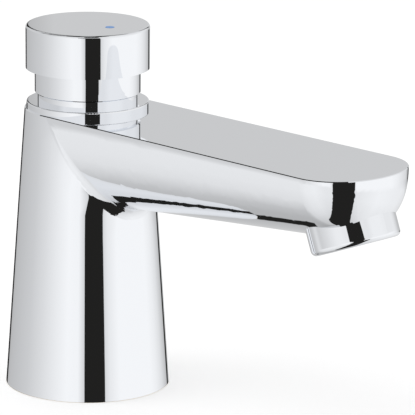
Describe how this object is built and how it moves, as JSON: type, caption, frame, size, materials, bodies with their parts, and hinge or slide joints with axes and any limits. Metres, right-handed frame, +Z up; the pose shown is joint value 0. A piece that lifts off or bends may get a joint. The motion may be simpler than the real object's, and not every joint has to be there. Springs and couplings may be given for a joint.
{
  "type": "push timed tap",
  "caption": "Deck-mounted self-closing basin tap: tapered pillar, flat-topped boat-shaped spout with tilted outlet, and a round push cap over a timed cartridge.",
  "frame": {"origin": "centre of the base face on the pillar axis, at the mouth of the threaded inlet, on the deck plane", "axes": "+X along the spout towards the outlet, +Z up along the pillar and the push axis, +Y across the spout"},
  "size_m": [0.1658, 0.056, 0.1247],
  "materials": {
    "chrome": "polished",
    "brass": "machined",
    "steel": "satin",
    "rubber": "matte",
    "white_plastic": "matte",
    "grey_plastic": "matte",
    "green_plastic": "matte",
    "blue_plastic": "gloss"
  },
  "bodies": {
    "tap": {"tap_body": "chrome", "base_seal": "rubber", "inlet_strainer": "steel", "valve_seat": "brass", "cartridge_barrel": "brass", "foot_seal": "rubber", "barrel_gasket": "rubber", "cartridge_gland": "brass", "rod_seal": "rubber", "guide_bush": "white_plastic", "metering_pin": "steel", "bonnet": "chrome", "collar_ring": "chrome", "aerator_housing": "chrome", "aerator_washer": "rubber", "aerator_screen": "grey_plastic", "aerator_insert": "white_plastic", "flow_regulator": "green_plastic", "return_spring": "steel"},
    "push_group": {"push_cap": "chrome", "cold_dot": "blue_plastic", "spindle": "steel", "lock_nut": "brass", "piston": "white_plastic", "piston_seal": "rubber", "piston_circlip": "steel", "valve_head": "brass", "valve_washer": "rubber", "valve_nut": "brass"}
  },
  "joints": [
    {"name": "push_slide", "type": "slide", "parent": "tap", "child": "push_group", "axis": [0, 0, -1], "range_m": [0, 0.007], "stiffness_N_per_m": 900, "springref_m": -0.01, "deforming": ["return_spring"]}
  ]
}
